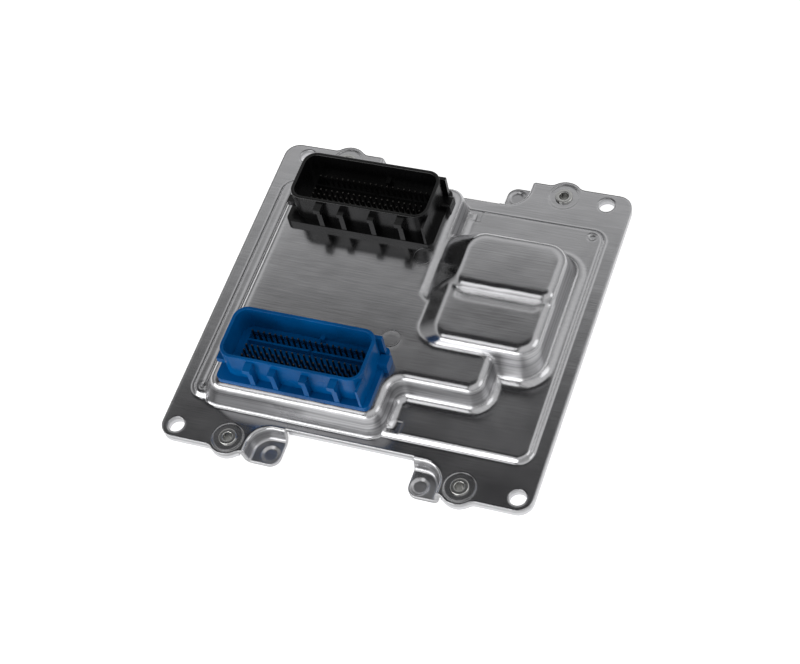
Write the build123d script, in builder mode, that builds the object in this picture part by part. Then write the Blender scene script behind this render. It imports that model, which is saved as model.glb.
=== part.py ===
from build123d import *
import os
from math import radians, tan

os.makedirs("parts", exist_ok=True)

# Engine control unit: a flat case of two pressed aluminium sheets, riveted together, with a
# circuit board inside and two upright header connectors on its plateau.
# Millimetres, +Z up. The origin is on the plane that the case stands on, under its centre.
# +X is the side away from the headers, and the blue header is at the front, towards -Y.

# Sheets
base_sheet = 2.0
cover_sheet = 1.8

# Heights of the pressed levels, each above the one that it stands on
pan_depth = 4.6
pad_height = 2.3
plateau_height = 14.0
step_height = 5.0
dome_height = 7.5

# Outline of the two flanges; what lies near an edge is placed by its distance from it
case_length = 160.0
case_width = 156.7
case_corner = 6.5
corner_hole = 7.0
front_hole_inset = 6.4
back_hole_inset = 11.0
hole_edge_distance = 5.85

# Tubular rivets and the bumps that the outline makes round them
rivet_x = 50.0
rivet_edge_distance = 5.05
rivet_boss = 8.0
boss_blend = 4.0
rivet_head = 7.6
rivet_head_height = 0.9
rivet_head_round = 0.4
rivet_shank = 5.2
rivet_bore = 3.9
rivet_floor = 1.0
rivet_hole_clearance = 0.2
rivet_foot = 8.4
rivet_foot_height = 1.0
spot_radius = 6.5
spot_depth = 0.2

# Notches in the long edges, and the lowered ears at their ends
notch_depth = 14.05
front_ear_x = 32.3
back_ear_x = 28.1
ear_edge_distance = 4.95
ear_reach = 4.5
front_ear_floor = 7.7
back_ear_floor = 5.3
ear_back = 7.0
ear_corner = 7.5
ear_tip_corner = 4.4
ear_draft = 12.0
ear_bend = 1.5
ear_clearance = 0.6
seat_mouth = 8.2
seat_floor = 5.6
seat_depth = 0.8

# Low pad that covers most of the case
pad_side_margin = 5.8
pad_end_margin = 19.85
pad_corner = 6.5
pad_draft = 36.0
pad_rim_round = 1.0
flange_foot_round = 1.5
dimple_side_margin = 5.9
dimple_end_margin = 5.2
dimple_radius = 1.6
dimple_depth = 0.5
tab_gap = 4.1
tab_width = 6.0
tab_depth = 0.35

# Plateau that carries the headers, with a step that runs to the right
plateau_margin = 12.9
plateau_length = 73.4
plateau_overhang = 0.4
step_front = -37.6
step_length = 36.7
plateau_left_draft = 27.0
plateau_draft = 8.0
plateau_edge_draft = 6.0
step_draft = 12.0
plateau_round = 3.4
plateau_corner = 6.0
step_corner = 6.0
plateau_foot_round = 4.0
foot_lap = 0.05
foot_plate = 0.6
ring_mark_inset = 6.5
ring_mark_gap = 19.8
ring_mark_radius = 4.2
ring_mark_depth = 0.15

# Dome over the tall components: a lower front part and a higher back part
dome_gap = 2.6
low_dome_slope = 32.0
high_dome_slope = 36.0
dome_margin = 7.6
dome_front = -18.8
dome_back = 33.5
rise_y = 7.4
low_dome_back = 26.0
dome_front_draft = 16.0
dome_right_draft = 3.0
dome_back_draft = 20.0
rise_draft = 40.0
dome_corner = 9.0
slope_corner = 9.0
rise_corner = 5.0
low_dome_round = 4.2
high_dome_round = 3.8
dome_foot_round = 5.0
dome_step_round = 2.5
rise_foot_round = 3.0
trough_front = 0.2
trough_back = 9.0
trough_corner = 3.6
trough_draft = 45.0
trough_depth = 1.5
trough_rim_round = 1.6
trough_left_inset = 11.6
trough_right_inset = 4.1

# Base plate
pan_side_margin = 3.2
pan_end_margin = 3.5
pan_corner = 8.0
pan_draft = 30.0
seal_side_margin = 2.8
seal_end_margin = 2.1
seal_corner = 8.0
seal_bead = 2.0
seal_depth = 1.0
seal_clearance = 0.1

# Circuit board, its posts and screws
board_thickness = 1.6
board_gap = 2.0
board_clearance = 0.7
board_corner = 4.0
post_side_margin = 9.0
post_end_margin = 9.5
middle_post_gap = 5.9
post_radius = 4.2
post_draft = 15.0
post_hollow_radius = 2.6
screw_diameter = 3.0
screw_hole_clearance = 0.1
screw_head_radius = 2.8
screw_head_height = 1.8
screw_length = 3.4
screw_socket_radius = 1.1
screw_socket_depth = 1.0

# Header housings, measured from the centre of the shroud
header_side_inset = 36.5
header_end_inset = 17.9
shroud_length = 62.0
shroud_width = 25.2
shroud_height = 16.0
shroud_wall = 1.6
shroud_corner = 6.0
rim_round = 0.5
foot_thickness = 2.5
foot_side = 2.3
foot_front = 3.1
foot_back = 1.3
foot_corner = 2.5
ledge_height = 3.8
floor_height = 1.0
slot_length = 52.2
slot_front = 4.95
slot_back = 8.5
field_back = 4.1
field_front = -10.2
rib_gap_x = 1.8
rib_gap = 1.6
key_x = 5.3
key_width = 2.0
key_depth = 1.6
key_height = 2.6
rib_width = 2.2
rib_depth = 2.9
rib_top_drop = 2.6
plain_rib_x = (-6.2, 7.3)
cap_width = 2.8
cap_depth = 3.5
cap_height = 2.0
hook_rib_x = (-16.2, 20.3)
hook_width = 3.2
hook_depth = 4.4
hook_top_drop = 1.0
hook_height = 3.6
hook_chamfer = 1.2
corner_rib_x = 30.3
corner_rib_width = 1.0
side_lug_y = -8.2
side_lug_width = 3.6
side_lug_depth = 2.4
side_lug_top_drop = 7.4
side_lug_height = 2.6
fin_y = 10.6
fin_width = 1.6
fin_reach = 1.4
fin_top_drop = 1.6
foot_lug_y = 6.5
foot_lug_width = 5.8
foot_lug_height = 5.2
foot_lug_reach = 1.8
foot_lug_round = 1.2
window_clearance = 0.4
skirt_length = 57.2
skirt_width = 19.2
skirt_corner = 3.0
skirt_wall = 2.0
skirt_pocket = 8.4
header_seal_gap = 1.2
header_seal_bead = 1.7
header_seal_height = 1.4

# Header pins
pin_pitch = 2.54
pin_count = 20
pin_side = 0.64
pin_point = 0.16
pin_tip_height = 8.0
pin_tail = 0.9
pin_hole = 1.05
slot_row_y = 6.7
field_rows_y = (-0.4, -3.0, -5.5)

# Components on the board, placed from the headers, the plateau's right edge or the dome's
pad_places = ((-24.0, -8.0), (-24.0, 12.0), (30.0, -26.0), (46.0, 16.0))
heat_pad_length = 20.0
heat_pad_width = 14.0
controller_offset = -6.2
controller_y = -2.0
controller_side = 24.0
controller_height = 1.8
lead_pitch = 1.0
lead_width = 0.4
lead_reach = 1.4
lead_thickness = 0.3
crystal_gap = 8.0
crystal_length = 11.0
crystal_width = 4.6
crystal_height = 3.4
memory_offset = 13.2
memory_y = 6.0
memory_length = 10.0
memory_width = 6.0
memory_height = 2.0
left_driver_offset = -27.8
left_driver_y = 8.0
right_driver_gaps = (15.9, 32.9)
right_driver_y = -26.0
driver_length = 15.6
driver_width = 10.8
driver_height = 3.0
transistor_inset = 10.6
transistor_pitch = 11.0
transistor_y = -10.0
transistor_length = 10.0
transistor_width = 9.0
transistor_height = 4.4
transistor_tab = 1.3
transistor_draft = 5.0
capacitor_inset = 9.6
capacitor_pitch = 13.5
capacitor_y = 22.0
capacitor_radius = 6.0
capacitor_height = 18.0
capacitor_round = 0.8
capacitor_slope_room = 9.0
boost_coil_inset = 33.6
boost_coil_y = 7.0
coil_side = 12.0
coil_height = 8.0
coil_corner = 1.5
regulator_coil_inset = 8.1
regulator_coil_y = -4.0
regulator_inset = 7.1
regulator_y = 12.0
regulator_length = 9.0
regulator_width = 8.0
regulator_height = 2.4
diode_inset = 20.6
diode_y = 6.0
diode_length = 8.0
diode_width = 6.0
diode_height = 2.4
transceiver_gaps = (10.0, 20.0)
transceiver_drop = 0.5
transceiver_length = 8.6
transceiver_width = 4.0
transceiver_height = 1.6
shunt_gaps = (0.0, 12.0, 24.0)
shunt_drop = 4.5
shunt_length = 6.4
shunt_width = 3.2
shunt_height = 0.8
filter_count = 20
filter_inset = 11.6
filter_length = 1.6
filter_width = 0.8

# Heights worked out from the above
base_top = pan_depth + base_sheet
flange_top = base_top + cover_sheet
pad_top = flange_top + pad_height
plateau_top = flange_top + plateau_height
step_top = plateau_top + step_height
dome_top = plateau_top + dome_height
board_under = base_sheet + board_gap
board_top = board_under + board_thickness
sides = (-1, 1)
touch = 0.01


def widening(drop, angle):
    """How far a drafted wall runs out over a drop."""
    return drop * tan(radians(angle))


# Places worked out from the above
pad_length = case_length - 2 * pad_side_margin
pad_width = case_width - 2 * pad_end_margin
plateau_left = plateau_margin - pad_length / 2
plateau_right = plateau_left + plateau_length
plateau_edge = pad_width / 2 + plateau_overhang
step_right = plateau_right + step_length
dome_left = plateau_right + dome_gap
dome_right = pad_length / 2 - dome_margin
header_x = plateau_left + header_side_inset
header_y = plateau_edge - header_end_inset
pan_length = pad_length - 2 * pan_side_margin
pan_width = pad_width - 2 * pan_end_margin
seal_length = pad_length + 2 * seal_side_margin
seal_width = pad_width + 2 * seal_end_margin
post_x = pan_length / 2 - post_side_margin
post_y = pan_width / 2 - post_end_margin
middle_post_x = plateau_right + middle_post_gap
corner_hole_y = case_width / 2 - hole_edge_distance
rivet_y = case_width / 2 - rivet_edge_distance
notch_edge = case_width / 2 - notch_depth
ear_y = case_width / 2 - ear_edge_distance
ear_run_out = widening(base_top - cover_sheet, ear_draft)
ear_notch_y = ear_y - ear_back - ear_run_out - cover_sheet - ear_clearance
ears = (
    (-1, front_ear_x, front_ear_x + front_ear_floor),
    (1, back_ear_x, back_ear_x + back_ear_floor),
)
pan_floor_length = pan_length - 2 * widening(pan_depth, pan_draft)
pan_floor_width = pan_width - 2 * widening(pan_depth, pan_draft)
board_grow = 2 * (widening(board_gap, pan_draft) - board_clearance)
board_length = pan_floor_length + board_grow
board_width = pan_floor_width + board_grow
post_places = [(x, j * post_y) for x in (-post_x, middle_post_x, post_x) for j in sides]
rivet_places = [(i * rivet_x, j * rivet_y) for i in sides for j in sides]
hole_places = [(i * (case_length / 2 - front_hole_inset), -corner_hole_y) for i in sides]
hole_places += [(i * (case_length / 2 - back_hole_inset), corner_hole_y) for i in sides]
pin_columns = [header_x + (i - (pin_count - 1) / 2) * pin_pitch for i in range(pin_count)]
pin_rows = (slot_row_y,) + field_rows_y
dome_room = dome_right - dome_left - capacitor_slope_room
coil_circuits = int(dome_room / capacitor_pitch)


def pin_places(centre_y):
    return [(x, centre_y + y) for x in pin_columns for y in pin_rows]


def closed_face(points, radii, z):
    with BuildSketch(Plane.XY.offset(z)) as face:
        with BuildLine():
            FilletPolyline(*points, radius=radii, close=True)
        make_face()
    return face.sketch


def level_edges(piece, z):
    return piece.edges().filter_by_position(Axis.Z, z - touch, z + touch)


def within(edge, half_x, half_y):
    box = edge.bounding_box()
    return (
        max(abs(box.min.X), abs(box.max.X)) < half_x
        and max(abs(box.min.Y), abs(box.max.Y)) < half_y
    )


def block(low, high, mode=Mode.ADD):
    """Rectangular block between two corners, in the part that is being built."""
    size = [b - a for a, b in zip(low, high)]
    middle = tuple((a + b) / 2 for a, b in zip(low, high))
    with Locations(middle):
        Box(*size, mode=mode)


def disc(places, z, radius, height, mode=Mode.ADD):
    """Upright round discs at several places, in the part that is being built."""
    with Locations(*[(x, y, z) for x, y in places]):
        Cylinder(radius, height, align=(Align.CENTER, Align.CENTER, Align.MIN), mode=mode)


def flange_outline(z, half_notches, edge):
    """Case outline with its rivet bumps, and a notch of the given half length in each edge."""
    with BuildSketch(Plane.XY.offset(z)) as outline:
        RectangleRounded(case_length, case_width, case_corner)
        with Locations(*rivet_places):
            Circle(rivet_boss)
        blends = outline.vertices().filter_by(
            lambda v: abs(abs(v.Y) - case_width / 2) < touch
            and abs(abs(v.X) - rivet_x) < rivet_boss
        )
        fillet(blends, boss_blend)
        for side, half_notch in zip(sides, half_notches):
            with Locations((0, side * (edge + case_width / 2))):
                Rectangle(2 * half_notch, case_width, mode=Mode.SUBTRACT)
    return outline.sketch


def ear_prism(z, height, outer, grow, side):
    """Drafted prism that follows the hollow of one pair of ears, grown outwards by a wall."""
    start = widening(z - cover_sheet, ear_draft) + grow
    reach = outer + start
    back = ear_y - ear_back - start
    depth = case_width - back
    with BuildPart() as prism:
        with BuildSketch(Plane.XY.offset(z)):
            with Locations((0, side * (back + depth / 2))):
                RectangleRounded(2 * reach, depth, ear_corner + start)
        extrude(amount=height, taper=-ear_draft)
    return prism.part


def ear_region(ear_x, side):
    """Everything that lies inside the free edges of one pair of ears."""
    inner = ear_x - ear_reach
    back = ear_notch_y - ear_clearance
    with BuildPart() as region:
        with BuildSketch():
            for hand in sides:
                far = case_length / 2
                with Locations((hand * (inner + far) / 2, side * (back + case_width / 2) / 2)):
                    Rectangle(far - inner, case_width / 2 - back)
        extrude(amount=base_top + cover_sheet / 2)
        tips = region.edges().filter_by(Axis.Z).filter_by(
            lambda e: abs(abs(e.center().X) - inner) < touch
            and abs(abs(e.center().Y) - case_width / 2) < touch
        )
        fillet(tips, ear_tip_corner)
    return region.part


def ear_pair(side, ear_x, outer):
    """The two lowered ears of one edge, with the walls that join them to the flange."""
    with BuildPart() as pair:
        add(ear_prism(0, base_top + (cover_sheet - ear_bend) / 2, outer, cover_sheet, side))
        fillet(level_edges(pair, 0), ear_bend + cover_sheet)
        add(ear_prism(cover_sheet, flange_top, outer, 0, side), mode=Mode.SUBTRACT)
        fillet(level_edges(pair, cover_sheet), ear_bend)
        add(ear_region(ear_x, side), mode=Mode.INTERSECT)
    return pair.part


def plateau_outline(z, inset):
    drop = plateau_top - z
    flare = widening(drop, plateau_draft)
    left = plateau_left - widening(drop, plateau_left_draft) + inset
    right = plateau_right + flare - inset
    edge = plateau_edge + widening(drop, plateau_edge_draft) - inset
    step_y = step_front - widening(drop, step_draft) + inset
    step_x = step_right + flare - inset
    points = [
        (left, -edge),
        (right, -edge),
        (right, step_y),
        (step_x, step_y),
        (step_x, 0),
        (right, 0),
        (right, edge),
        (left, edge),
    ]
    convex = plateau_corner + flare - inset
    concave = step_corner - flare + inset
    radii = [convex, convex, concave, convex, convex, concave, convex, convex]
    return closed_face(points, radii, z)


def dome_outline(z, inset, slope, front, back, radii):
    left = dome_left - (plateau_top - z) / tan(radians(slope)) + inset
    right = dome_right + widening(dome_top - z, dome_right_draft) - inset
    points = [
        (left, front + inset),
        (right, front + inset),
        (right, back - inset),
        (left, back - inset),
    ]
    return closed_face(points, radii, z)


def low_dome_outline(z, inset):
    front = dome_front - widening(step_top - z, dome_front_draft)
    back = low_dome_back + widening(dome_top - z, dome_back_draft)
    corner = dome_corner - inset
    radii = [slope_corner, corner, corner, slope_corner]
    return dome_outline(z, inset, low_dome_slope, front, back, radii)


def high_dome_outline(z, inset):
    front = rise_y - widening(dome_top - z, rise_draft)
    back = dome_back + widening(dome_top - z, dome_back_draft)
    radii = [rise_corner, rise_corner, dome_corner - inset, slope_corner]
    return dome_outline(z, inset, high_dome_slope, front, back, radii)


def whole_dome_outline(z, inset):
    """The foot of both parts of the dome, as one outline."""
    front = dome_front - widening(step_top - z, dome_front_draft)
    back = dome_back + widening(dome_top - z, dome_back_draft)
    corner = dome_corner - inset
    radii = [slope_corner, corner, corner, slope_corner]
    return dome_outline(z, inset, low_dome_slope, front, back, radii)


def pressed_level(outline, top, inset, rounding):
    """One raised level of the cover's skin, from the base flange up, with a rounded top edge."""
    with BuildPart() as level:
        loft([outline(top - inset, inset), outline(base_top, inset)])
        fillet(level_edges(level, top - inset), rounding - inset)
    return level.part


def pad_flat(z, inset):
    """The flat of the pad, inside its rounded rim."""
    slope = widening(pad_height, pad_draft)
    with BuildSketch(Plane.XY.offset(z)) as flat:
        RectangleRounded(
            pad_length - 2 * (slope + inset), pad_width - 2 * (slope + inset), pad_corner - slope / 2
        )
    return flat.sketch


def level_foot(level, inset, ground, ground_flat, ground_round, foot_round):
    """The sweep from one level's walls out onto the flat that it rises from."""
    outline, top, rounding = level
    foot_z = ground - inset
    with BuildPart() as foot:
        block((-case_length, -case_width, base_top), (case_length, case_width, foot_z))
        add(pressed_level(outline, top, inset + foot_lap, rounding))
        wall_feet = level_edges(foot, foot_z).filter_by(
            lambda e: within(e, case_length - touch, case_width - touch)
        )
        fillet(wall_feet, foot_round + inset)
        flat = ground_flat(ground, ground_round + inset)
        add(flat.moved(Location((0, 0, -inset - foot_plate))))
        extrude(amount=foot_plate + 2 * foot_round, taper=pad_draft, mode=Mode.INTERSECT)
    return foot.part


plateau_level = (plateau_outline, plateau_top, plateau_round)
low_dome_level = (low_dome_outline, step_top, low_dome_round)
high_dome_level = (high_dome_outline, dome_top, high_dome_round)
whole_dome_level = (whole_dome_outline, step_top, low_dome_round)


def trough(inset):
    """Shallow trough with rounded ends, which is pressed across the top of the low dome."""
    left = dome_left + trough_left_inset - inset
    right = dome_right - trough_right_inset + inset
    front = trough_front - inset
    with BuildPart() as cut:
        with BuildSketch(Plane.XY.offset(step_top - inset)):
            with Locations(((left + right) / 2, (front + trough_back) / 2)):
                RectangleRounded(right - left, trough_back - front, trough_corner)
        extrude(amount=-trough_depth, taper=trough_draft)
    return cut.part


def troughed_dome(inset):
    """The low dome with its trough, rounded at the trough's rim."""
    with BuildPart() as dome:
        add(pressed_level(*low_dome_level[:2], inset, low_dome_round))
        add(trough(inset), mode=Mode.SUBTRACT)
        rim = level_edges(dome, step_top - inset).filter_by(lambda e: e.center().Y < trough_back)
        rim = rim.filter_by(lambda e: e.center().Y > trough_front - inset - trough_corner / 2)
        rim = rim.filter_by(
            lambda e: dome_left + trough_left_inset - inset - touch < e.center().X
            and e.center().X < dome_right - trough_right_inset + inset + touch
        )
        fillet(rim, trough_rim_round)
    return dome.part


def raised_levels(inset):
    """The plateau and the two parts of the dome."""
    return [
        pressed_level(*plateau_level[:2], inset, plateau_round),
        troughed_dome(inset),
        pressed_level(*high_dome_level[:2], inset, high_dome_round),
    ]


def level_feet(inset):
    """The sweeps at the feet of the levels, on the pad, on the plateau and on the low dome."""
    on_pad = (pad_top, pad_flat, pad_rim_round)
    on_plateau = (plateau_top, plateau_outline, plateau_round)
    on_low_dome = (step_top, low_dome_outline, low_dome_round)
    return [
        level_foot(plateau_level, inset, *on_pad, plateau_foot_round),
        level_foot(whole_dome_level, inset, *on_pad, dome_foot_round),
        level_foot(whole_dome_level, inset, *on_plateau, dome_step_round),
        level_foot(high_dome_level, inset, *on_low_dome, rise_foot_round),
    ]


def low_pad(start, inset):
    """The low pad from a given height up; its sizes hold at the flange's upper face."""
    grow = widening(flange_top - start, pad_draft) - inset
    with BuildPart() as pad:
        with BuildSketch(Plane.XY.offset(start)):
            RectangleRounded(pad_length + 2 * grow, pad_width + 2 * grow, pad_corner + grow)
        extrude(amount=pad_top - inset - start, taper=pad_draft)
    return pad.part


# Cover: the outer skin of the pressed sheet, rounded where the levels meet
with BuildPart() as rimmed_pad:
    add(low_pad(flange_top, 0))
    fillet(level_edges(rimmed_pad, pad_top), pad_rim_round)

with BuildPart() as cover_flange:
    block((-case_length, -2 * case_width, base_top), (case_length, 2 * case_width, flange_top))
    for side, ear_x, outer in ears:
        add(ear_prism(base_top, cover_sheet, outer, 0, side), mode=Mode.SUBTRACT)
    fillet(
        level_edges(cover_flange, flange_top).filter_by(
            lambda e: abs(e.center().X) < case_length / 2 and abs(e.center().Y) < 1.5 * case_width
        ),
        ear_bend,
    )
    with BuildSketch(Plane.XY.offset(base_top)):
        add(flange_outline(0, [ear_x - ear_reach for side, ear_x, outer in ears], notch_edge))
    extrude(amount=cover_sheet, mode=Mode.INTERSECT)

with BuildPart() as outer_skin:
    add(cover_flange.part)
    add(rimmed_pad.part)
    for level in raised_levels(0):
        add(level)
    flange_feet = level_edges(outer_skin, flange_top).filter_by(
        lambda e: within(e, case_length / 2 - touch, notch_edge - touch)
    )
    fillet(flange_feet, flange_foot_round)
    for foot in level_feet(0):
        add(foot)

with BuildPart() as inner_skin:
    add(low_pad(base_top, cover_sheet))
    for level in raised_levels(cover_sheet) + level_feet(cover_sheet):
        add(level)

# Cover: one sheet between the two skins, with its ears, holes, windows and pressed marks
with BuildPart() as cover:
    add(outer_skin.part)
    add(inner_skin.part, mode=Mode.SUBTRACT)
    for side, ear_x, outer in ears:
        add(ear_pair(side, ear_x, outer))
    for side, ear_x, outer in ears:
        seats = [(hand * ear_x, side * ear_y, cover_sheet - seat_depth) for hand in sides]
        with Locations(*seats):
            Cone(
                seat_floor / 2,
                seat_mouth / 2,
                seat_depth,
                align=(Align.CENTER, Align.CENTER, Align.MIN),
                mode=Mode.SUBTRACT,
            )
    disc(hole_places, base_top, corner_hole / 2, cover_sheet, Mode.SUBTRACT)
    disc(rivet_places, flange_top - spot_depth, spot_radius, spot_depth, Mode.SUBTRACT)
    rivet_hole_radius = (rivet_shank + rivet_hole_clearance) / 2
    disc(rivet_places, base_top, rivet_hole_radius, cover_sheet, Mode.SUBTRACT)
    with BuildSketch(Plane.XY.offset(plateau_top - cover_sheet)):
        with Locations(*[(header_x, side * header_y) for side in sides]):
            RectangleRounded(
                skirt_length + 2 * window_clearance,
                skirt_width + 2 * window_clearance,
                skirt_corner + window_clearance,
            )
    extrude(amount=cover_sheet, mode=Mode.SUBTRACT)
    for side in sides:
        with BuildSketch(Plane.XY.offset(plateau_top - ring_mark_depth)):
            with Locations((plateau_right - ring_mark_inset, side * (header_y - ring_mark_gap))):
                Circle(ring_mark_radius)
                Circle(ring_mark_radius - 2 * ring_mark_depth, mode=Mode.SUBTRACT)
        extrude(amount=ring_mark_depth, mode=Mode.SUBTRACT)
        tab_x = plateau_right + tab_gap
        tab_y = side * (pad_width / 2 - tab_gap)
        block(
            (tab_x - tab_width / 2, tab_y - tab_width / 2, pad_top - tab_depth),
            (tab_x + tab_width / 2, tab_y + tab_width / 2, pad_top),
            Mode.SUBTRACT,
        )
    dimple_x = pad_length / 2 - dimple_side_margin
    dimple_y = pad_width / 2 - dimple_end_margin
    dimples = [(dimple_x, dimple_y), (-dimple_x, -dimple_y)]
    disc(dimples, pad_top - dimple_depth, dimple_radius, dimple_depth, Mode.SUBTRACT)

cover.part.label = "cover"
export_step(cover.part, "parts/cover.step")

# Base plate: a flange that follows the cover's, round a pan pressed down to the ground
with BuildPart() as base_plate:
    with BuildSketch(Plane.XY.offset(pan_depth)) as base_outline:
        half_notches = [outer + ear_run_out + cover_sheet + ear_clearance for side, ear_x, outer in ears]
        add(flange_outline(0, half_notches, ear_notch_y))
        for side, ear_x, outer in ears:
            tongue = ear_x - ear_reach - ear_clearance
            with Locations((0, side * notch_edge / 2)):
                Rectangle(2 * tongue, notch_edge)
        notch_corners = base_outline.vertices().filter_by(
            lambda v: ear_notch_y - touch < abs(v.Y) < notch_edge + touch
        )
        fillet(notch_corners, ear_clearance)
    extrude(amount=base_sheet)
    with BuildSketch():
        grow = 2 * (base_sheet - widening(base_sheet, pan_draft))
        floor_corner = pan_corner - widening(pan_depth, pan_draft)
        RectangleRounded(pan_floor_length + grow, pan_floor_width + grow, floor_corner + grow / 2)
    extrude(amount=pan_depth, taper=-pan_draft)
    with BuildSketch(Plane.XY.offset(base_sheet)):
        RectangleRounded(pan_floor_length, pan_floor_width, floor_corner)
    extrude(amount=pan_depth, taper=-pan_draft, mode=Mode.SUBTRACT)
    with BuildSketch(Plane.XY.offset(base_sheet)):
        with Locations(*post_places):
            Circle(post_radius)
    extrude(amount=board_gap, taper=post_draft)
    disc(post_places, 0, post_hollow_radius, board_gap, Mode.SUBTRACT)
    disc(post_places, board_gap, (screw_diameter + screw_hole_clearance) / 2, base_sheet, Mode.SUBTRACT)
    with BuildSketch(Plane.XY.offset(base_top - seal_depth)):
        ring = seal_bead / 2 + seal_clearance
        RectangleRounded(seal_length + 2 * ring, seal_width + 2 * ring, seal_corner + ring)
        RectangleRounded(
            seal_length - 2 * ring, seal_width - 2 * ring, seal_corner - ring, mode=Mode.SUBTRACT
        )
    extrude(amount=seal_depth, mode=Mode.SUBTRACT)
    disc(hole_places, pan_depth, corner_hole / 2, base_sheet, Mode.SUBTRACT)
    disc(rivet_places, pan_depth, rivet_hole_radius, base_sheet, Mode.SUBTRACT)
base_plate.part.label = "base_plate"
export_step(base_plate.part, "parts/base_plate.step")

# Seal between the two flanges, in the base plate's groove
with BuildPart() as flange_seal:
    with BuildSketch(Plane.XY.offset(base_top - seal_depth)):
        RectangleRounded(seal_length + seal_bead, seal_width + seal_bead, seal_corner + seal_bead / 2)
        RectangleRounded(
            seal_length - seal_bead,
            seal_width - seal_bead,
            seal_corner - seal_bead / 2,
            mode=Mode.SUBTRACT,
        )
    extrude(amount=seal_depth)
flange_seal.part.label = "flange_seal"
export_step(flange_seal.part, "parts/flange_seal.step")

# Tubular rivets through both flanges
with BuildPart() as rivets:
    head_under = flange_top - spot_depth
    disc(rivet_places, pan_depth - rivet_foot_height, rivet_foot / 2, rivet_foot_height)
    disc(rivet_places, pan_depth, rivet_shank / 2, head_under - pan_depth)
    disc(rivet_places, head_under, rivet_head / 2, rivet_head_height)
    bore_floor = pan_depth - rivet_foot_height + rivet_floor
    bore_depth = head_under + rivet_head_height - bore_floor
    disc(rivet_places, bore_floor, rivet_bore / 2, bore_depth, Mode.SUBTRACT)
    fillet(level_edges(rivets, head_under + rivet_head_height), rivet_head_round)
rivets.part.label = "rivets"
export_step(rivets.part, "parts/rivets.step")

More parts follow.
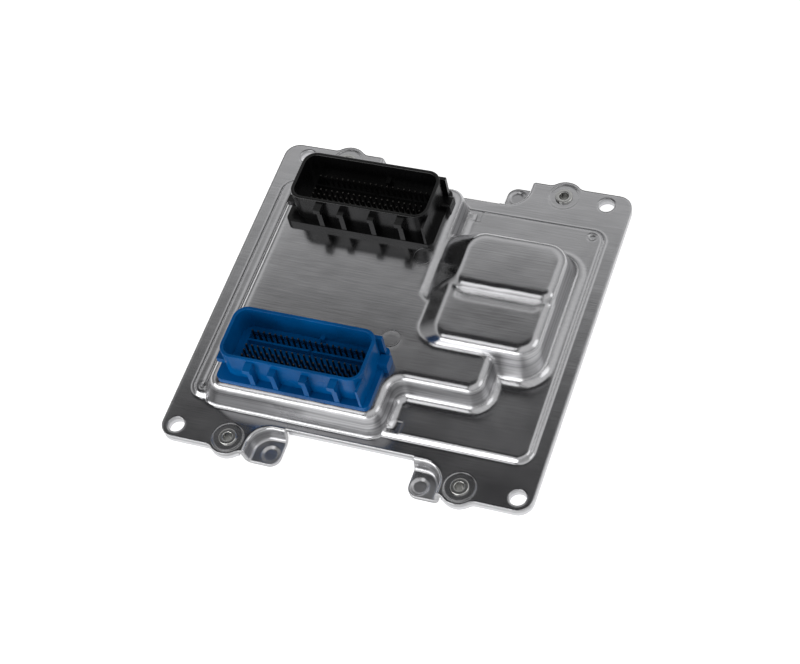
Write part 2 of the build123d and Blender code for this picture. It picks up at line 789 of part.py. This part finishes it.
# Header housing, with its foot on z = 0 and its shroud round the z axis
with BuildPart() as housing:
    foot_width = shroud_width + foot_front + foot_back
    with BuildSketch():
        with Locations((0, (foot_back - foot_front) / 2)):
            RectangleRounded(shroud_length + 2 * foot_side, foot_width, foot_corner)
    extrude(amount=foot_thickness)
    with BuildSketch():
        RectangleRounded(shroud_length, shroud_width, shroud_corner)
    extrude(amount=shroud_height)
    front_wall = -shroud_width / 2
    rib_top = shroud_height - rib_top_drop
    for x in plain_rib_x + hook_rib_x:
        block(
            (x - rib_width / 2, front_wall - rib_depth, 0),
            (x + rib_width / 2, front_wall + shroud_wall, rib_top),
        )
    for x in plain_rib_x:
        block(
            (x - cap_width / 2, front_wall - cap_depth, rib_top - cap_height),
            (x + cap_width / 2, front_wall + shroud_wall, rib_top),
        )
    for x in hook_rib_x:
        hook_top = shroud_height - hook_top_drop
        block(
            (x - hook_width / 2, front_wall - hook_depth, hook_top - hook_height),
            (x + hook_width / 2, front_wall + shroud_wall, hook_top),
        )
        hook_edges = housing.edges().filter_by(Axis.X).filter_by(
            lambda e: abs(e.center().X - x) < touch
            and abs(e.center().Y - front_wall + hook_depth) < touch
            and abs(e.center().Z - hook_top + hook_height) < touch
        )
        chamfer(hook_edges, hook_chamfer)
    block(
        (corner_rib_x - corner_rib_width / 2, front_wall - rib_depth, 0),
        (corner_rib_x + corner_rib_width / 2, front_wall + shroud_corner, rib_top),
    )
    lug_top = shroud_height - side_lug_top_drop
    block(
        (-shroud_length / 2 - side_lug_depth, side_lug_y - side_lug_width / 2, lug_top - side_lug_height),
        (-shroud_length / 2 + shroud_corner, side_lug_y + side_lug_width / 2, lug_top),
    )
    block(
        (shroud_length / 2 - shroud_corner, fin_y - fin_width / 2, 0),
        (shroud_length / 2 + fin_reach, fin_y + fin_width / 2, shroud_height - fin_top_drop),
    )
    block(
        (shroud_length / 2, foot_lug_y - foot_lug_width / 2, 0),
        (
            shroud_length / 2 + foot_side + foot_lug_reach,
            foot_lug_y + foot_lug_width / 2,
            foot_lug_height,
        ),
    )
    foot_lug_edges = housing.edges().filter_by(Axis.X).filter_by(
        lambda e: e.center().X > shroud_length / 2 and abs(e.center().Z - foot_lug_height) < touch
    )
    fillet(foot_lug_edges, foot_lug_round)
    with BuildSketch(Plane.XY.offset(ledge_height)):
        RectangleRounded(
            shroud_length - 2 * shroud_wall,
            shroud_width - 2 * shroud_wall,
            shroud_corner - shroud_wall,
        )
    extrude(amount=shroud_height - ledge_height, mode=Mode.SUBTRACT)
    fillet(level_edges(housing, shroud_height), rim_round)
    block(
        (-slot_length / 2, slot_front, floor_height),
        (slot_length / 2, slot_back, ledge_height),
        Mode.SUBTRACT,
    )
    block(
        (-slot_length / 2, field_front, floor_height),
        (slot_length / 2, field_back, ledge_height),
        Mode.SUBTRACT,
    )
    block(
        (rib_gap_x - rib_gap / 2, field_back, floor_height),
        (rib_gap_x + rib_gap / 2, slot_front, ledge_height),
        Mode.SUBTRACT,
    )
    back_wall = shroud_width / 2 - shroud_wall
    block(
        (key_x - key_width / 2, back_wall - key_depth, ledge_height),
        (key_x + key_width / 2, back_wall, ledge_height + key_height),
    )
    with BuildSketch(Plane.XY.offset(board_top - plateau_top)):
        RectangleRounded(skirt_length, skirt_width, skirt_corner)
    extrude(amount=plateau_top - board_top)
    with BuildSketch(Plane.XY.offset(board_top - plateau_top)):
        RectangleRounded(
            skirt_length - 2 * skirt_wall, skirt_width - 2 * skirt_wall, skirt_corner - skirt_wall
        )
    extrude(amount=skirt_pocket, mode=Mode.SUBTRACT)
    with BuildSketch():
        for grow, mode in (
            (header_seal_gap + header_seal_bead, Mode.ADD),
            (header_seal_gap, Mode.SUBTRACT),
        ):
            RectangleRounded(
                skirt_length + 2 * grow, skirt_width + 2 * grow, skirt_corner + grow, mode=mode
            )
    extrude(amount=header_seal_height, mode=Mode.SUBTRACT)
    with BuildSketch(Plane.XY.offset(board_top - plateau_top + skirt_pocket)):
        with Locations(*[(x - header_x, y) for x, y in pin_places(0)]):
            Rectangle(pin_side, pin_side)
    extrude(amount=plateau_top - board_top - skirt_pocket + floor_height, mode=Mode.SUBTRACT)

with BuildPart() as pin:
    pin_foot = board_under - pin_tail
    pin_tip = plateau_top + pin_tip_height
    block((-pin_side / 2, -pin_side / 2, pin_foot), (pin_side / 2, pin_side / 2, pin_tip))
    chamfer(level_edges(pin, pin_tip), pin_point)

for name, side in (("front_header", -1), ("back_header", 1)):
    centre_y = side * header_y
    with BuildPart() as header:
        with Locations((header_x, centre_y, plateau_top)):
            add(housing.part)
    header.part.label = name
    export_step(header.part, "parts/" + name + ".step")

    with BuildPart() as pins:
        with Locations(*pin_places(centre_y)):
            add(pin.part)
    pins.part.label = name + "_pins"
    export_step(pins.part, "parts/" + name + "_pins.step")

    with BuildPart() as header_seal:
        with BuildSketch(Plane.XY.offset(plateau_top)):
            with Locations((header_x, centre_y)):
                for grow, mode in (
                    (header_seal_gap + header_seal_bead, Mode.ADD),
                    (header_seal_gap, Mode.SUBTRACT),
                ):
                    RectangleRounded(
                        skirt_length + 2 * grow, skirt_width + 2 * grow, skirt_corner + grow, mode=mode
                    )
        extrude(amount=header_seal_height)
    header_seal.part.label = name + "_seal"
    export_step(header_seal.part, "parts/" + name + "_seal.step")

# Circuit board on the posts of the base plate
with BuildPart() as circuit_board:
    with BuildSketch(Plane.XY.offset(board_under)):
        RectangleRounded(board_length, board_width, board_corner)
        with Locations(*post_places):
            Circle((screw_diameter + screw_hole_clearance) / 2, mode=Mode.SUBTRACT)
        with Locations(*(pin_places(-header_y) + pin_places(header_y))):
            Circle(pin_hole / 2, mode=Mode.SUBTRACT)
    extrude(amount=board_thickness)
circuit_board.part.label = "circuit_board"
export_step(circuit_board.part, "parts/circuit_board.step")

with BuildPart() as board_screws:
    disc(post_places, board_top - screw_length, screw_diameter / 2, screw_length)
    disc(post_places, board_top, screw_head_radius, screw_head_height)
    socket_floor = board_top + screw_head_height - screw_socket_depth
    with BuildSketch(Plane.XY.offset(socket_floor)):
        with Locations(*post_places):
            RegularPolygon(screw_socket_radius, 6)
    extrude(amount=screw_socket_depth, mode=Mode.SUBTRACT)
board_screws.part.label = "board_screws"
export_step(board_screws.part, "parts/board_screws.step")

with BuildPart() as heat_pads:
    with BuildSketch(Plane.XY.offset(base_sheet)):
        with Locations(*pad_places):
            Rectangle(heat_pad_length, heat_pad_width)
    extrude(amount=board_gap)
heat_pads.part.label = "heat_pads"
export_step(heat_pads.part, "parts/heat_pads.step")


def lead_sketch(places, length, width):
    """Leads along the two long sides of each chip."""
    count = int(length / lead_pitch) - 1
    with BuildSketch(Plane.XY.offset(board_top)) as leads:
        with Locations(*places):
            for hand in sides:
                with Locations((0, hand * (width + lead_reach) / 2)):
                    with GridLocations(lead_pitch, 1, count, 1):
                        Rectangle(lead_width, lead_reach)
    return leads.sketch


def chips(name, places, length, width, height, turns=(0,)):
    """Chips with leads along two sides, or along all four when a second turn is given."""
    with BuildPart() as made:
        with BuildSketch(Plane.XY.offset(board_top)):
            with Locations(*places):
                Rectangle(length, width)
        extrude(amount=height)
        chamfer(level_edges(made, board_top + height), lead_thickness)
        for turn in turns:
            with BuildSketch(Plane.XY.offset(board_top)):
                for x, y in places:
                    with Locations(Location((x, y), turn)):
                        add(lead_sketch([(0, 0)], length, width))
            extrude(amount=lead_thickness)
    made.part.label = name
    export_step(made.part, "parts/" + name + ".step")


def plain_blocks(name, places, length, width, height, corner):
    """Plain components with rounded corners."""
    with BuildPart() as made:
        with BuildSketch(Plane.XY.offset(board_top)):
            with Locations(*places):
                RectangleRounded(length, width, corner)
        extrude(amount=height)
        fillet(level_edges(made, board_top + height), min(corner, height) / 2)
    made.part.label = name
    export_step(made.part, "parts/" + name + ".step")


# Components on the board
controller_x = header_x + controller_offset
controller_place = [(controller_x, controller_y)]
memory_places = [(header_x + memory_offset, side * memory_y) for side in sides]
driver_places = [(header_x + left_driver_offset, side * left_driver_y) for side in sides]
driver_places += [(plateau_right + gap, right_driver_y) for gap in right_driver_gaps]
transceiver_places = [(middle_post_x + gap, -post_y - transceiver_drop) for gap in transceiver_gaps]
regulator_place = [(plateau_right - regulator_inset, regulator_y)]
crystal_place = [(controller_x, controller_y + controller_side / 2 + crystal_gap)]
boost_coil_place = [(dome_right - boost_coil_inset, boost_coil_y)]
regulator_coil_place = [(plateau_right - regulator_coil_inset, regulator_coil_y)]
diode_place = [(dome_right - diode_inset, diode_y)]
shunt_places = [(middle_post_x + gap, post_y - shunt_drop) for gap in shunt_gaps]
crystal_corner = crystal_width / 2 - touch

chips("microcontroller", controller_place, controller_side, controller_side, controller_height, (0, 90))
chips("memory_chips", memory_places, memory_length, memory_width, memory_height)
chips("driver_chips", driver_places, driver_length, driver_width, driver_height)
chips(
    "network_transceivers",
    transceiver_places,
    transceiver_length,
    transceiver_width,
    transceiver_height,
)
chips("voltage_regulator", regulator_place, regulator_length, regulator_width, regulator_height)
plain_blocks(
    "clock_crystal", crystal_place, crystal_length, crystal_width, crystal_height, crystal_corner
)
plain_blocks("boost_coil", boost_coil_place, coil_side, coil_side, coil_height, coil_corner)
plain_blocks("regulator_coil", regulator_coil_place, coil_side, coil_side, coil_height, coil_corner)
plain_blocks("protection_diode", diode_place, diode_length, diode_width, diode_height, lead_thickness)
plain_blocks("shunt_resistors", shunt_places, shunt_length, shunt_width, shunt_height, lead_thickness)

with BuildPart() as ignition_transistors:
    transistor_x = [dome_right - transistor_inset - i * transistor_pitch for i in range(coil_circuits)]
    with BuildSketch(Plane.XY.offset(board_top)):
        with Locations(*[(x, transistor_y) for x in transistor_x]):
            Rectangle(transistor_width, transistor_length)
    extrude(amount=transistor_tab)
    with BuildSketch(Plane.XY.offset(board_top + transistor_tab)):
        with Locations(*[(x, transistor_y - transistor_tab) for x in transistor_x]):
            Rectangle(transistor_width, transistor_length - 2 * transistor_tab)
    extrude(amount=transistor_height - transistor_tab, taper=transistor_draft)
ignition_transistors.part.label = "ignition_transistors"
export_step(ignition_transistors.part, "parts/ignition_transistors.step")

with BuildPart() as bulk_capacitors:
    capacitor_x = [dome_right - capacitor_inset - i * capacitor_pitch for i in range(coil_circuits)]
    disc([(x, capacitor_y) for x in capacitor_x], board_top, capacitor_radius, capacitor_height)
    fillet(level_edges(bulk_capacitors, board_top + capacitor_height), capacitor_round)
bulk_capacitors.part.label = "bulk_capacitors"
export_step(bulk_capacitors.part, "parts/bulk_capacitors.step")

with BuildPart() as filter_capacitors:
    filter_places = [
        (header_x + (i - (filter_count - 1) / 2) * pin_pitch, side * (header_y - filter_inset))
        for i in range(filter_count)
        for side in sides
    ]
    with BuildSketch(Plane.XY.offset(board_top)):
        with Locations(*filter_places):
            Rectangle(filter_width, filter_length)
    extrude(amount=filter_width)
filter_capacitors.part.label = "filter_capacitors"
export_step(filter_capacitors.part, "parts/filter_capacitors.step")
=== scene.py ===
from math import radians

import bpy
from mathutils import Matrix, Vector


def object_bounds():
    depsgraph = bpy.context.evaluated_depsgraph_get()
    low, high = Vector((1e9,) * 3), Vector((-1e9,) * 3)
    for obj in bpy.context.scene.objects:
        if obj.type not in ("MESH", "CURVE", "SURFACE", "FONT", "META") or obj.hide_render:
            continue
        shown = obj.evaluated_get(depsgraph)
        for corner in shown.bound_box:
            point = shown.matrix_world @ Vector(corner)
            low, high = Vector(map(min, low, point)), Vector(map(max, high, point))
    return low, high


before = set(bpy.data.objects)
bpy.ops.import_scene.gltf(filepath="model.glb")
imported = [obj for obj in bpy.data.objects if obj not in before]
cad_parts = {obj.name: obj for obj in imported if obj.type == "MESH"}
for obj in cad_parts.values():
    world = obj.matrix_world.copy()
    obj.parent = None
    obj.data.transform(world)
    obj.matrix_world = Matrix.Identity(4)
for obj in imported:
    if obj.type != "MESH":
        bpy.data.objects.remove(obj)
cad_low, cad_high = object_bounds()

# Camera: where the photograph was taken from, in metres
camera_place = Vector((0.25372, -0.40800, 0.66045))
camera_aim = Vector((-0.00031, -0.00360, 0.0))
camera_roll = radians(-16.15)
camera_lens = 87.38
camera_sensor = 36.0
camera_near = 0.01
camera_far = 20.0

# Backdrop: white to the camera, over a square of pale paper just under the case
white = (1.0, 1.0, 1.0)
black = (0.0, 0.0, 0.0)
floor_half = 3.0
floor_drop = 0.0002
floor_colour = (0.80, 0.80, 0.80)
floor_glow = (0.68, 0.68, 0.68)
floor_roughness = 0.9

# Room that lights the case and shows in its metal: a bright band under a dark ceiling, over a wall
# that is nearly black on the left and grey on the right. The band's upper edge climbs with the
# azimuth. Heights are those of a direction one unit long.
ceiling_grey = (0.042, 0.042, 0.044)
band_grey = (0.90, 0.90, 0.90)
left_grey = (0.02, 0.02, 0.023)
right_grey = (0.42, 0.42, 0.42)
left_to_right = (-0.3, 0.3)
wall_to_band = (0.10, 0.66)
band_to_ceiling = (0.754, 0.824)
band_tilt = 0.126
band_azimuth = radians(-30)
below_to_above = (-0.03, 0.03)

# Smooth shading of the CAD meshes
weld_distance = 0.000002
sharp_angle = radians(28)
large_face_weight = 100

# Grain of rolled sheet: lines along X, specks, clouds and slow waves, in cells per metre
rolled_lines = (60.0, 1400.0, 1400.0)
line_share = 0.7
speck_scale = 1800.0
sheet_cloud_scale = 26.0
wave_scale = 75.0
sheet_grain = 0.012
sheet_cloud_edges = (0.3, 0.7)

# Grain of moulded pieces, in cells per metre
peel_scale = 900.0
mould_cloud_scale = 60.0
mould_cloud_edges = (0.35, 0.65)

# Depth of a grain height of 1, in metres
grain_depth = 0.001

# Pressed sheet: softened creases, and walls and ear floors that the press left duller
crease_samples = 8
crease_heights = (0.0095, 0.0135)
crease_radii = (0.0012, 0.0026)
wall_to_flat = (0.25, 0.75)
wall_dullness = 0.12
ear_heights = (0.003, 0.006)
draw_mark_grey = (0.17, 0.17, 0.175)
draw_mark_run = (12.0, 12.0, 900.0)
draw_mark_edges = (0.42, 0.66)
draw_mark_strengths = (0.1, 0.8)


def camera():
    data = bpy.data.cameras.new("camera")
    data.lens = camera_lens
    data.sensor_width = camera_sensor
    data.clip_start = camera_near
    data.clip_end = camera_far
    seer = bpy.data.objects.new("camera", data)
    bpy.context.scene.collection.objects.link(seer)
    look = (camera_aim - camera_place).to_track_quat("-Z", "Y").to_matrix()
    turn = look @ Matrix.Rotation(camera_roll, 3, "Z")
    seer.matrix_world = Matrix.Translation(camera_place) @ turn.to_4x4()
    bpy.context.scene.camera = seer


# Shader helpers

def link(tree, source, target):
    tree.links.new(source, target)


def node(tree, kind, **settings):
    made = tree.nodes.new(kind)
    for name, value in settings.items():
        setattr(made, name, value)
    return made


def maths(tree, operation, first, second=None):
    made = node(tree, "ShaderNodeMath", operation=operation)
    for place, value in enumerate((first, second)):
        if value is None:
            continue
        if isinstance(value, (int, float)):
            made.inputs[place].default_value = value
        else:
            link(tree, value, made.inputs[place])
    return made.outputs["Value"]


def noise(tree, vector, scale, detail=3.0, roughness=0.5):
    made = node(tree, "ShaderNodeTexNoise")
    made.inputs["Scale"].default_value = scale
    made.inputs["Detail"].default_value = detail
    made.inputs["Roughness"].default_value = roughness
    link(tree, vector, made.inputs["Vector"])
    return made.outputs["Fac"]


def stretched_noise(tree, vector, scales, detail, roughness):
    """Noise with a scale of its own along each axis."""
    run = node(tree, "ShaderNodeMapping")
    run.inputs["Scale"].default_value = scales
    link(tree, vector, run.inputs["Vector"])
    return noise(tree, run.outputs["Vector"], 1.0, detail, roughness)


def ramp(tree, value, low, high, out_low=0.0, out_high=1.0):
    made = node(tree, "ShaderNodeMapRange")
    made.inputs["From Min"].default_value = low
    made.inputs["From Max"].default_value = high
    made.inputs["To Min"].default_value = out_low
    made.inputs["To Max"].default_value = out_high
    link(tree, value, made.inputs["Value"])
    return made.outputs["Result"]


def blend(tree, mask, first, second):
    """The first colour where the mask is 0, and the second where it is 1."""
    made = node(tree, "ShaderNodeMix", data_type="RGBA")
    link(tree, mask, made.inputs["Factor"])
    for name, value in (("A", first), ("B", second)):
        socket = [s for s in made.inputs if s.name == name and s.type == "RGBA"][0]
        if isinstance(value, tuple):
            socket.default_value = (*value, 1.0)
        else:
            link(tree, value, socket)
    return [s for s in made.outputs if s.type == "RGBA"][0]


def object_place(tree):
    return node(tree, "ShaderNodeTexCoord").outputs["Object"]


def parts(tree, vector):
    """The outputs X, Y and Z of a vector."""
    split = node(tree, "ShaderNodeSeparateXYZ")
    link(tree, vector, split.inputs["Vector"])
    return split.outputs


def group(name, inputs, outputs):
    """Shader node group whose inputs and outputs are all plain numbers."""
    tree = bpy.data.node_groups.new(name, "ShaderNodeTree")
    for label in inputs:
        tree.interface.new_socket(label, in_out="INPUT", socket_type="NodeSocketFloat")
    for label in outputs:
        tree.interface.new_socket(label, in_out="OUTPUT", socket_type="NodeSocketFloat")
    return tree, node(tree, "NodeGroupInput"), node(tree, "NodeGroupOutput")


def placed(tree, shared, **values):
    made = node(tree, "ShaderNodeGroup", node_tree=shared)
    for name, value in values.items():
        made.inputs[name].default_value = value
    return made


def new_material(name):
    made = bpy.data.materials.new(name)
    made.use_nodes = True
    shader = made.node_tree.nodes["Principled BSDF"]
    return made, made.node_tree, shader


# Finishes

def rolled_grain():
    """Fine lines and slow waves of rolled, pressed sheet metal."""
    tree, given, result = group("rolled_grain", ("Grain", "Wave"), ("Height", "Streak", "Cloud"))
    place = object_place(tree)
    streak = stretched_noise(tree, place, rolled_lines, detail=4.0, roughness=0.6)
    speck = noise(tree, place, speck_scale, detail=2.0)
    lines = maths(tree, "MULTIPLY", streak, line_share)
    specks = maths(tree, "MULTIPLY", speck, 1.0 - line_share)
    fine = maths(tree, "MULTIPLY", maths(tree, "ADD", lines, specks), given.outputs["Grain"])
    wave = noise(tree, place, wave_scale, detail=1.0)
    slow = maths(tree, "MULTIPLY", wave, given.outputs["Wave"])
    link(tree, maths(tree, "ADD", fine, slow), result.inputs["Height"])
    link(tree, streak, result.inputs["Streak"])
    link(tree, noise(tree, place, sheet_cloud_scale), result.inputs["Cloud"])
    return tree


def moulded_grain():
    """Faint orange-peel of moulded plastic, with a cloud for its slight change of colour."""
    tree, given, result = group("moulded_grain", ("Grain",), ("Height", "Cloud"))
    place = object_place(tree)
    peel = noise(tree, place, peel_scale)
    link(tree, maths(tree, "MULTIPLY", peel, given.outputs["Grain"]), result.inputs["Height"])
    link(tree, noise(tree, place, mould_cloud_scale, detail=4.0), result.inputs["Cloud"])
    return tree


def soft_creases(tree):
    """Normals with rounded creases, more so on the levels that stand above the pad."""
    height = parts(tree, object_place(tree))["Z"]
    soft = node(tree, "ShaderNodeBevel", samples=crease_samples)
    link(tree, ramp(tree, height, *crease_heights, *crease_radii), soft.inputs["Radius"])
    return soft.outputs["Normal"]


def steep_walls(tree):
    """Mask of the steep walls round the raised levels, which the press drew out."""
    normal = parts(tree, node(tree, "ShaderNodeNewGeometry").outputs["Normal"])
    return ramp(tree, maths(tree, "ABSOLUTE", normal["Z"]), *wall_to_flat, 1.0, 0.0)


def coined_ears(tree):
    """Mask of the lowered ears, whose floors were struck flat."""
    height = parts(tree, object_place(tree))["Z"]
    return ramp(tree, height, *ear_heights, 1.0, 0.0)


def draw_marks(tree, walls):
    """Mask of the level scuffs that the press leaves along the walls."""
    scuff = stretched_noise(tree, object_place(tree), draw_mark_run, detail=3.0, roughness=0.55)
    marks = ramp(tree, scuff, *draw_mark_edges, *draw_mark_strengths)
    return maths(tree, "MULTIPLY", marks, walls)


def bumped(tree, shader, height, normal=None):
    bump = node(tree, "ShaderNodeBump")
    if normal:
        link(tree, normal, bump.inputs["Normal"])
    bump.inputs["Distance"].default_value = grain_depth
    link(tree, height, bump.inputs["Height"])
    link(tree, bump.outputs["Normal"], shader.inputs["Normal"])


def sheet_metal(name, light, dark, rough, wave, drawn=False):
    """Rolled metal between two tones and two roughnesses, with the marks of a press if drawn."""
    made, tree, shader = new_material(name)
    shader.inputs["Metallic"].default_value = 1.0
    grain = placed(tree, shared_rolled_grain, Grain=sheet_grain, Wave=wave)
    colour = blend(tree, grain.outputs["Streak"], dark, light)
    roughness = ramp(tree, grain.outputs["Cloud"], *sheet_cloud_edges, *rough)
    normal = None
    if drawn:
        normal = soft_creases(tree)
        walls = steep_walls(tree)
        colour = blend(tree, draw_marks(tree, walls), colour, draw_mark_grey)
        dull = maths(tree, "MAXIMUM", walls, coined_ears(tree))
        duller = maths(tree, "MULTIPLY", dull, wall_dullness)
        roughness = maths(tree, "ADD", roughness, duller)
    link(tree, colour, shader.inputs["Base Color"])
    link(tree, roughness, shader.inputs["Roughness"])
    bumped(tree, shader, grain.outputs["Height"], normal)
    return made


def moulded(name, light, dark, rough, grain, shine=0.5):
    """Plastic, rubber, laminate or ceramic, smoother where it is lighter."""
    made, tree, shader = new_material(name)
    shader.inputs["Specular IOR Level"].default_value = shine
    surface = placed(tree, shared_moulded_grain, Grain=grain)
    mask = ramp(tree, surface.outputs["Cloud"], *mould_cloud_edges)
    smoothest, roughest = rough
    link(tree, blend(tree, mask, dark, light), shader.inputs["Base Color"])
    link(tree, ramp(tree, mask, 0.0, 1.0, roughest, smoothest), shader.inputs["Roughness"])
    bumped(tree, shader, surface.outputs["Height"])
    return made


def pressed_aluminium():
    return sheet_metal(
        "pressed_aluminium", light=(0.51, 0.51, 0.52), dark=(0.40, 0.40, 0.41),
        rough=(0.14, 0.22), wave=0.06, drawn=True)


def base_aluminium():
    return sheet_metal(
        "base_aluminium", light=(0.62, 0.62, 0.63), dark=(0.48, 0.48, 0.50),
        rough=(0.30, 0.42), wave=0.05)


def plated_steel():
    return sheet_metal(
        "plated_steel", light=(0.54, 0.54, 0.53), dark=(0.42, 0.42, 0.41),
        rough=(0.18, 0.26), wave=0.02)


# Pins far darker than tin: the near-black colour is painted shade from the shrouds round them
def tinned_pin_in_painted_shade():
    return sheet_metal(
        "tinned_pin_in_painted_shade", light=(0.09, 0.085, 0.08), dark=(0.055, 0.052, 0.05),
        rough=(0.32, 0.45), wave=0.0)


def capacitor_can():
    return sheet_metal(
        "capacitor_can", light=(0.62, 0.62, 0.66), dark=(0.52, 0.52, 0.55),
        rough=(0.25, 0.35), wave=0.0)


def blue_moulding():
    return moulded(
        "blue_moulding", light=(0.0, 0.080, 0.26), dark=(0.0, 0.054, 0.18),
        rough=(0.20, 0.30), grain=0.02, shine=0.09)


def black_moulding():
    return moulded(
        "black_moulding", light=(0.003, 0.003, 0.0032), dark=(0.0015, 0.0015, 0.0016),
        rough=(0.20, 0.30), grain=0.02, shine=0.32)


def seal_rubber():
    return moulded(
        "seal_rubber", light=(0.030, 0.030, 0.032), dark=(0.018, 0.018, 0.019),
        rough=(0.70, 0.85), grain=0.05)


def board_laminate():
    return moulded(
        "board_laminate", light=(0.010, 0.120, 0.045), dark=(0.006, 0.080, 0.030),
        rough=(0.35, 0.50), grain=0.03)


def chip_moulding():
    return moulded(
        "chip_moulding", light=(0.022, 0.022, 0.024), dark=(0.014, 0.014, 0.015),
        rough=(0.50, 0.65), grain=0.05)


def ferrite():
    return moulded(
        "ferrite", light=(0.055, 0.055, 0.060), dark=(0.032, 0.032, 0.035),
        rough=(0.60, 0.75), grain=0.06)


def heat_pad():
    return moulded(
        "heat_pad", light=(0.30, 0.34, 0.42), dark=(0.24, 0.27, 0.34),
        rough=(0.75, 0.90), grain=0.05)


def ceramic():
    return moulded(
        "ceramic", light=(0.35, 0.24, 0.15), dark=(0.26, 0.17, 0.10),
        rough=(0.40, 0.55), grain=0.03)


# Each finish, with the CAD pieces that have it
finishes = (
    (pressed_aluminium, ("cover",)),
    (base_aluminium, ("base_plate",)),
    (plated_steel, ("rivets", "board_screws", "clock_crystal")),
    # The pins' finish paints the shade inside the shrouds into their colour
    (tinned_pin_in_painted_shade, ("front_header_pins", "back_header_pins")),
    (capacitor_can, ("bulk_capacitors",)),
    (blue_moulding, ("front_header",)),
    (black_moulding, ("back_header",)),
    (seal_rubber, ("front_header_seal", "back_header_seal", "flange_seal")),
    (board_laminate, ("circuit_board",)),
    (chip_moulding, (
        "microcontroller", "memory_chips", "driver_chips", "network_transceivers",
        "voltage_regulator", "ignition_transistors", "protection_diode", "shunt_resistors")),
    (ferrite, ("boost_coil", "regulator_coil")),
    (heat_pad, ("heat_pads",)),
    (ceramic, ("filter_capacitors",)),
)


def dress(piece, finish):
    piece.data.materials.clear()
    piece.data.materials.append(finish)


def smooth_shading():
    """Node tree that joins a CAD mesh's loose triangles and shades it smooth between sharp edges."""
    tree = bpy.data.node_groups.new("smooth_shading", "GeometryNodeTree")
    for side in ("INPUT", "OUTPUT"):
        tree.interface.new_socket("Geometry", in_out=side, socket_type="NodeSocketGeometry")
    given = node(tree, "NodeGroupInput")
    result = node(tree, "NodeGroupOutput")
    merge = node(tree, "GeometryNodeMergeByDistance")
    merge.inputs["Distance"].default_value = weld_distance
    angle = node(tree, "GeometryNodeInputMeshEdgeAngle")
    gentle = node(tree, "FunctionNodeCompare", data_type="FLOAT", operation="LESS_EQUAL")
    gentle.inputs["B"].default_value = sharp_angle
    faces = node(tree, "GeometryNodeSetShadeSmooth", domain="FACE")
    edges = node(tree, "GeometryNodeSetShadeSmooth", domain="EDGE")
    link(tree, given.outputs["Geometry"], merge.inputs["Geometry"])
    link(tree, angle.outputs["Unsigned Angle"], gentle.inputs["A"])
    link(tree, merge.outputs["Geometry"], faces.inputs["Geometry"])
    link(tree, faces.outputs["Geometry"], edges.inputs["Geometry"])
    link(tree, gentle.outputs["Result"], edges.inputs["Shade Smooth"])
    link(tree, edges.outputs["Geometry"], result.inputs["Geometry"])
    return tree


def smooth(piece, tree):
    shade = piece.modifiers.new("smooth_shading", "NODES")
    shade.node_group = tree
    weigh = piece.modifiers.new("weighted_normals", "WEIGHTED_NORMAL")
    weigh.keep_sharp = True
    weigh.weight = large_face_weight


def seen_directly(tree):
    """Mask of the rays that show the floor itself: the camera's, and those off metal and glass."""
    path = node(tree, "ShaderNodeLightPath")
    off_metal = path.outputs["Is Glossy Ray"]
    through_glass = path.outputs["Is Transmission Ray"]
    mirrored = maths(tree, "MAXIMUM", off_metal, through_glass)
    return maths(tree, "MAXIMUM", path.outputs["Is Camera Ray"], mirrored)


def floor():
    """Square of paper that keeps the case's shadow and glows where it is seen directly."""
    mesh = bpy.data.meshes.new("floor")
    height = cad_low[2] - floor_drop
    square = ((-1, -1), (1, -1), (1, 1), (-1, 1))
    corners = [(x * floor_half, y * floor_half, height) for x, y in square]
    mesh.from_pydata(corners, [], [(0, 1, 2, 3)])
    ground = bpy.data.objects.new("floor", mesh)
    bpy.context.scene.collection.objects.link(ground)
    made, tree, shader = new_material("floor_paper")
    shader.inputs["Roughness"].default_value = floor_roughness
    shader.inputs["Base Color"].default_value = (*floor_colour, 1.0)
    shader.inputs["Emission Strength"].default_value = 1.0
    glow = blend(tree, seen_directly(tree), black, floor_glow)
    link(tree, glow, shader.inputs["Emission Color"])
    dress(ground, made)


def softbox(name, place, size, watts):
    """Rectangular lamp that faces the middle of the case's underside, which is the frame's origin."""
    data = bpy.data.lights.new(name, "AREA")
    data.shape = "RECTANGLE"
    data.size, data.size_y = size
    data.energy = watts
    lamp = bpy.data.objects.new(name, data)
    bpy.context.scene.collection.objects.link(lamp)
    look = (-Vector(place)).to_track_quat("-Z", "Y").to_matrix().to_4x4()
    lamp.matrix_world = Matrix.Translation(Vector(place)) @ look


def room():
    """World that is white to the camera, and the banded room to the light and in the metal."""
    made = bpy.data.worlds.new("studio")
    made.use_nodes = True
    bpy.context.scene.world = made
    tree = made.node_tree
    background = tree.nodes["Background"]
    direction = parts(tree, node(tree, "ShaderNodeTexCoord").outputs["Generated"])
    height = direction["Z"]

    wall = blend(tree, ramp(tree, direction["X"], *left_to_right), left_grey, right_grey)
    colour = blend(tree, ramp(tree, height, *wall_to_band), wall, band_grey)

    azimuth = maths(tree, "ARCTAN2", direction["X"], direction["Y"])
    past_band_azimuth = maths(tree, "SUBTRACT", azimuth, band_azimuth)
    climb = maths(tree, "MULTIPLY", past_band_azimuth, band_tilt)
    levelled = maths(tree, "SUBTRACT", height, climb)
    colour = blend(tree, ramp(tree, levelled, *band_to_ceiling), colour, ceiling_grey)

    below = ramp(tree, height, *below_to_above, 1.0, 0.0)
    colour = blend(tree, below, colour, floor_colour)

    seen = node(tree, "ShaderNodeLightPath").outputs["Is Camera Ray"]
    link(tree, blend(tree, seen, colour, white), background.inputs["Color"])
    background.inputs["Strength"].default_value = 1.0


bpy.context.scene.view_settings.view_transform = "Standard"
camera()
room()
floor()
softbox("front_softbox", place=(-0.65, -1.25, 0.30), size=(2.0, 0.55), watts=16.0)
softbox("high_softbox", place=(-0.40, -0.66, 1.06), size=(0.6, 0.6), watts=2.0)
softbox("side_softbox", place=(1.3, 0.2, 0.7), size=(0.8, 0.8), watts=2.5)

shared_rolled_grain = rolled_grain()
shared_moulded_grain = moulded_grain()
shading = smooth_shading()
for finish, names in finishes:
    material = finish()
    for name in names:
        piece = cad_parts[name]
        dress(piece, material)
        smooth(piece, shading)
